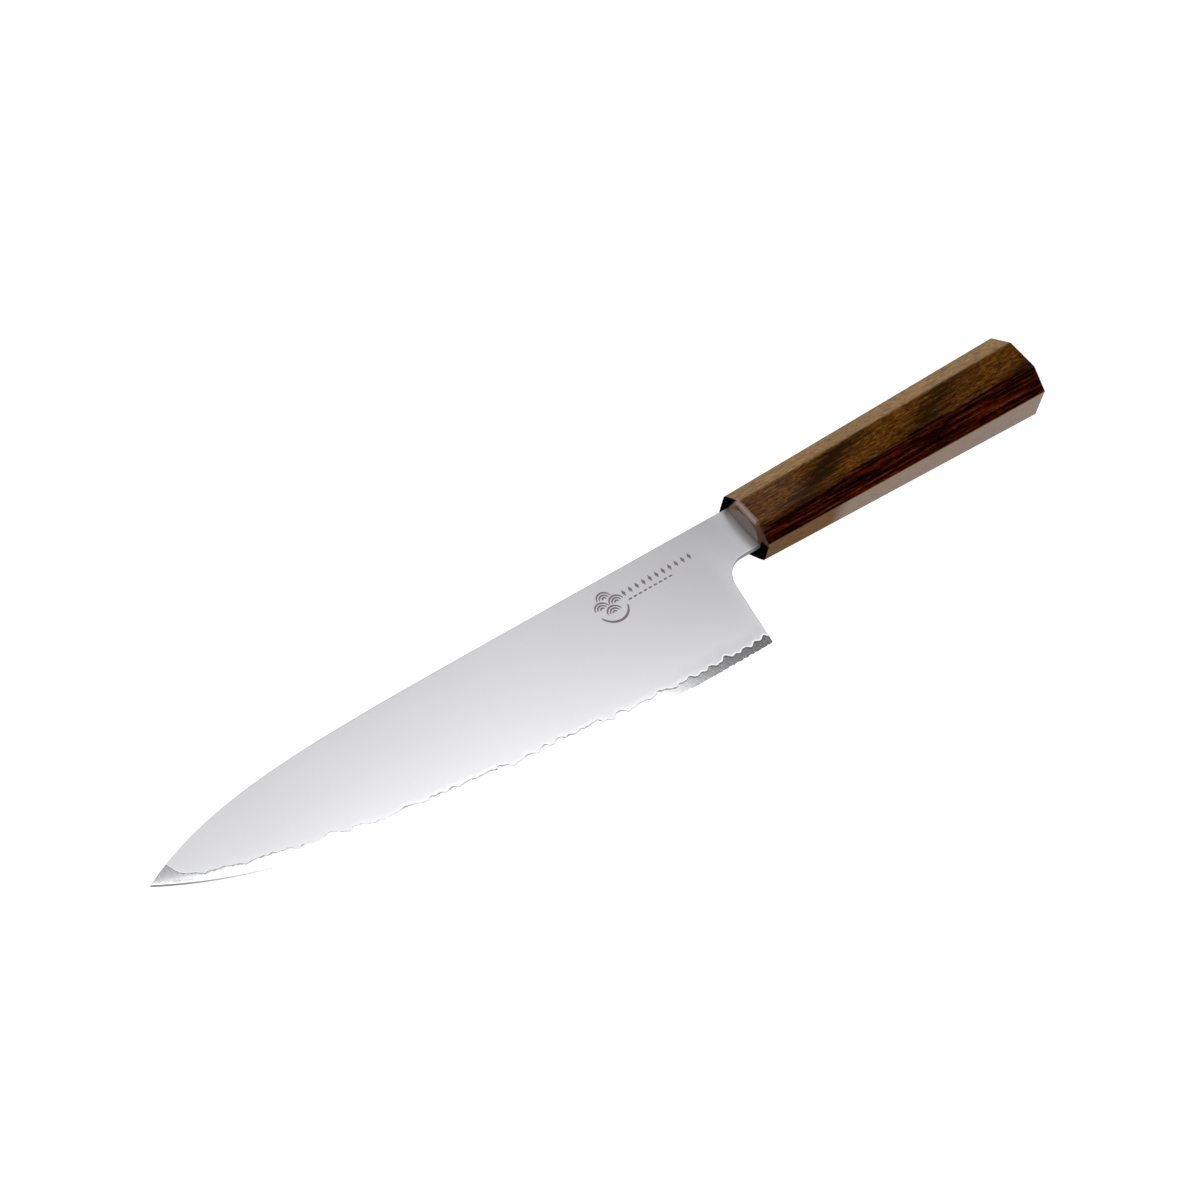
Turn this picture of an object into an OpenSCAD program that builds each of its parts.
// Chef's knife with a three-layer blade and an octagonal wooden handle. Millimetres.
//
// Each piece is drawn in the knife's own frame: x runs from the handle's front face to its
// butt, y from the handle's axis up to the spine, and z out of the blade's left face.
// resting() then lays the knife on its right side, as it comes to rest on a board: on the
// front end of the handle and on the tip.

/* [Blade outline] */
// Length of the cutting edge, from heel to tip
blade_length = 200; // [180:5:240]
// Height of the blade at the heel, from spine to edge
heel_height = 46.8; // [42:0.2:52]
// Height of the spine over the handle's axis
spine_offset = 8.4; // [7.6:0.1:9]
// Height of the spine over the tip
tip_drop = 14.3; // [10:0.1:20]
// How late the spine turns down to the tip
spine_power = 7.1; // [4:0.1:10]
// Share of the edge's rise that is an even belly
belly_share = 0.72; // [0.5:0.01:0.9]
// How late the rest of the rise comes
belly_power = 8; // [5:0.5:12]
// Distance from the handle's front face to the heel
heel_gap = 19.2; // [17:0.2:24]
// Lean of the edge behind the heel, in degrees
heel_lean = 9.4; // [0:0.2:12]
// Height of the neck under the handle's axis
neck_drop = 8; // [7:0.1:8.4]
// Radius of the curve between neck and heel
choil_radius = 9; // [6:0.5:9]

/* [Blade section] */
// Thickness of the spine and the tang
spine_thickness = 2; // [1.8:0.1:3]
// Thickness of the spine at the tip
tip_thickness = 0.3; // [0.2:0.05:0.4]
// How late the spine thins towards the tip
taper_power = 3.4; // [2.5:0.1:5]
// Thickness of the hard core layer
core_thickness = 0.5; // [0.45:0.05:0.8]
// Thickness just above the sharpened bevel
shoulder_thickness = 0.26; // [0.15:0.01:0.28]
// Height of the sharpened bevel
bevel_height = 0.8; // [0.4:0.1:1.2]
// Height of bare core steel over the edge
band_height = 3.7; // [2.5:0.1:6]
// How far the line between the layers wanders
band_wander = 0.5; // [0:0.1:0.8]

/* [Tang] */
// Depth to which the full neck enters the handle
neck_depth = 8; // [5:0.5:12]
// Height of the tang behind the neck
tang_front = 11; // [9:0.5:11.5]
// Height of the tang's far end
tang_rear = 7; // [5:0.5:9]
// Distance from the handle's front face to the tang's end
tang_end = 88; // [60:1:90]

/* [Handle] */
// Length of the handle
handle_length = 116; // [110:1:140]
// Height of the handle at the front
front_height = 21.7; // [21.5:0.1:24]
// Height of the handle at the butt
butt_height = 25.9; // [24:0.1:28]
// Width of the handle at the front
front_width = 16.2; // [15:0.1:19]
// Width of the handle at the butt
butt_width = 21.8; // [19:0.1:24]
// Distance between opposite sloping faces at the front
front_across = 19; // [18.5:0.1:20.5]
// Distance between opposite sloping faces at the butt
butt_across = 24.4; // [23:0.1:26]
// Bevel round the front face
front_chamfer = 1; // [0.6:0.1:1.5]
// How far the front face bulges
dome_rise = 0.5; // [0.3:0.1:0.8]
// Bevel round the butt
butt_chamfer = 0.5; // [0.3:0.1:1]

/* [Tang bore] */
// Height of the bore behind the neck
bore_height = 12; // [12:0.5:14]
// Width of the bore behind the neck
bore_width = 5; // [4:0.5:6]
// Depth of the bore from the front face
bore_depth = 92; // [91:1:100]
// Gap that the adhesive fills round the neck
glue_gap = 0.15; // [0.1:0.05:0.2]
// How deep the adhesive sits under the front face
glue_recess = 0.8; // [0.8:0.1:1.5]

/* [Hidden] */
$fn = 96;

// stations along the blade
clad_steps = 70;
tip_steps = 8;
// the first is just behind the heel, so that the outline cuts the heel's corner clean
first_station = -0.005;
last_station = 0.999;
// thickness of the cladding's lower border
feather = 0.02;
core_half = core_thickness / 2;
// angle between the handle's side and sloping faces
facet_angle = 54;
// the stock is parallel behind this x
parallel_x = -2;
// larger than the blade, for cutting tools
reach = 400;
over = 1;

// --- blade, by station t: 0 at the heel, 1 at the tip -------------------------------------

function station_x(t) = -heel_gap - blade_length * t;
function late(t, power) = pow(max(t, 0), power);
function spine_y(t) = spine_offset - tip_drop * late(t, spine_power);
function edge_y(t) = spine_offset - heel_height + (heel_height - tip_drop)
    * (belly_share * late(t, 2) + (1 - belly_share) * late(t, belly_power));
function spine_half(t) = (spine_thickness - (spine_thickness - tip_thickness)
    * late(t, taper_power)) / 2;
function rib_height(t) = spine_y(t) - edge_y(t);
function shoulder_y(t) = edge_y(t) + min(bevel_height, 0.2 * rib_height(t));
// the line where the cladding ends wanders over several wavelengths
function wander(t) = band_wander * (0.6 * sin(9 * 360 * t) + 0.4 * sin(19 * 360 * t + 40));
function line_y(t) = edge_y(t) + min(band_height + wander(t), 0.6 * rib_height(t));

// the cladding ends where the spine is hardly thicker than the core
clad_end = pow((spine_thickness - core_thickness - 2 * feather)
    / (spine_thickness - tip_thickness), 1 / taper_power);
clad_stations = [for (i = [0 : clad_steps])
    first_station + (clad_end - first_station) * i / clad_steps];
tip_stations = [for (i = [1 : tip_steps]) clad_end + (last_station - clad_end) * i / tip_steps];

// One cross-section of the core, at x: half thickness at the spine, line and shoulder.
function core_rib(x, t, at_spine, at_line, at_shoulder) = [
    [x, spine_y(t), at_spine],
    [x, line_y(t), at_line],
    [x, shoulder_y(t), at_shoulder],
    [x, edge_y(t), 0],
    [x, shoulder_y(t), -at_shoulder],
    [x, line_y(t), -at_line],
    [x, spine_y(t), -at_spine]
];

// One cross-section of the left cladding, at x: half thickness at the spine and at the line.
function clad_rib(x, t, at_spine, at_line) = [
    [x, spine_y(t), core_half],
    [x, spine_y(t), at_spine],
    [x, line_y(t), at_line],
    [x, line_y(t), core_half]
];

core_ribs = concat(
    [for (x = [tang_end + over, parallel_x]) core_rib(x, 0, core_half, core_half, core_half)],
    [for (t = concat(clad_stations, tip_stations)) core_rib(station_x(t), t,
        min(core_half, spine_half(t)), min(core_half, spine_half(t)), shoulder_thickness / 2)]
);
clad_ribs = concat(
    [for (x = [tang_end + over, parallel_x]) clad_rib(x, 0, spine_half(0), spine_half(0))],
    [for (t = clad_stations) clad_rib(station_x(t), t, spine_half(t), core_half + feather)]
);

// A closed skin over a row of cross-sections that have the same number of points.
module loft(ribs) {
    ring = len(ribs[0]);
    last = len(ribs) - 1;
    skin = [for (i = [0 : last - 1]) for (j = [0 : ring - 1])
        let (a = i * ring + j, b = i * ring + (j + 1) % ring)
            each [[a, b, b + ring], [a, b + ring, a + ring]]];
    near_cap = [for (j = [0 : ring - 1]) ring - 1 - j];
    far_cap = [for (j = [0 : ring - 1]) last * ring + j];
    polyhedron([for (rib = ribs) each rib], concat([near_cap], skin, [far_cap]));
}

// --- outline of the blade behind the heel, seen from the left ------------------------------

lean = tan(heel_lean);
heel_y = spine_offset - heel_height;
function rear_x(y) = -heel_gap + (y - heel_y) * lean;
choil_centre_y = -neck_drop - choil_radius;
choil_centre = [
    rear_x(choil_centre_y + choil_radius * sin(heel_lean)) + choil_radius * cos(heel_lean),
    choil_centre_y
];
choil_low = choil_centre + choil_radius * [-cos(heel_lean), sin(heel_lean)];
choil_high = choil_centre + [0, choil_radius];

// The circle cuts a corner of the polygon into the curve between neck and heel.
module blade_outline() {
    difference() {
        polygon([
            [-reach, reach],
            [neck_depth, reach],
            [neck_depth, tang_front / 2],
            [tang_end, tang_rear / 2],
            [tang_end, -tang_rear / 2],
            [neck_depth, -tang_front / 2],
            [neck_depth, -neck_drop],
            choil_high,
            choil_centre,
            choil_low,
            [rear_x(-reach), -reach],
            [-reach, -reach]
        ]);
        translate(choil_centre) circle(r = choil_radius);
    }
}

// --- handle ---------------------------------------------------------------------------------

front_bevel = front_chamfer + dome_rise;
// the dome bulges by dome_rise over half the front face's height
dome_base = front_height / 2 - front_bevel;
dome_radius = (pow(dome_base, 2) + pow(dome_rise, 2)) / (2 * dome_rise);

// A bar between two opposite planes that part towards the butt, bevelled at both ends.
module tapered_bar(front, butt) {
    linear_extrude(height = reach, center = true)
        polygon([
            [0, front / 2 - front_bevel],
            [front_bevel, front / 2],
            [handle_length - butt_chamfer, butt / 2],
            [handle_length, butt / 2 - butt_chamfer],
            [handle_length, butt_chamfer - butt / 2],
            [handle_length - butt_chamfer, -butt / 2],
            [front_bevel, -front / 2],
            [0, front_bevel - front / 2]
        ]);
}

module handle_blank() {
    facet_pairs = [
        [0, front_height, butt_height],
        [90, front_width, butt_width],
        [facet_angle, front_across, butt_across],
        [-facet_angle, front_across, butt_across]
    ];
    intersection() {
        intersection_for (pair = facet_pairs)
            rotate([pair[0], 0, 0]) tapered_bar(pair[1], pair[2]);
        translate([dome_radius, 0, 0]) sphere(r = dome_radius);
    }
}

// The slot for the neck from x = start, and behind it the routed bore for the tang.
module tang_cavity(start) {
    translate([start, -neck_drop - glue_gap, -spine_thickness / 2 - glue_gap])
        cube([neck_depth - start, spine_offset + neck_drop + 2 * glue_gap,
            spine_thickness + 2 * glue_gap]);
    bore_length = bore_depth - neck_depth + over;
    flat_part = bore_height - bore_width;
    translate([neck_depth - over, -flat_part / 2, -bore_width / 2])
        cube([bore_length, flat_part, bore_width]);
    for (side = [-1, 1])
        translate([neck_depth - over, side * flat_part / 2, 0])
            rotate([0, 90, 0]) cylinder(d = bore_width, h = bore_length);
}

// --- how the knife lies ---------------------------------------------------------------------

// its weight is just ahead of the handle, so the handle's front end and the tip bear it
tip = [station_x(last_station), -spine_half(last_station)];
bearing = [front_bevel, -front_width / 2];
pitch = atan((bearing[1] - tip[1]) / (bearing[0] - tip[0]));
function laid(p) = [p[0] * cos(pitch) + p[1] * sin(pitch), p[1] * cos(pitch) - p[0] * sin(pitch)];
butt_low = laid([handle_length, butt_chamfer - butt_width / 2]);
middle_x = (laid(tip)[0] + butt_low[0]) / 2;
middle_y = (heel_y + butt_height / 2) / 2;

// Lays the knife on its right side, with the middle of its footprint at the origin.
module resting() {
    translate([-middle_x, -middle_y, -laid(bearing)[1]])
        rotate([0, pitch, 0])
            children();
}

// --- the pieces -----------------------------------------------------------------------------

module blade_core() {
    color("silver")
        resting() intersection() {
            loft(core_ribs);
            linear_extrude(height = reach, center = true) blade_outline();
        }
}

module cladding() {
    color("gainsboro")
        intersection() {
            loft(clad_ribs);
            linear_extrude(height = reach, center = true) blade_outline();
        }
}

module cladding_left() {
    resting() cladding();
}

module cladding_right() {
    resting() mirror([0, 0, 1]) cladding();
}

module handle() {
    color("saddlebrown")
        resting() difference() {
            handle_blank();
            tang_cavity(-over);
        }
}

module tang_adhesive() {
    color("darkslategray")
        resting() difference() {
            tang_cavity(glue_recess);
            linear_extrude(height = spine_thickness, center = true) blade_outline();
        }
}

blade_core();
cladding_left();
cladding_right();
handle();
tang_adhesive();
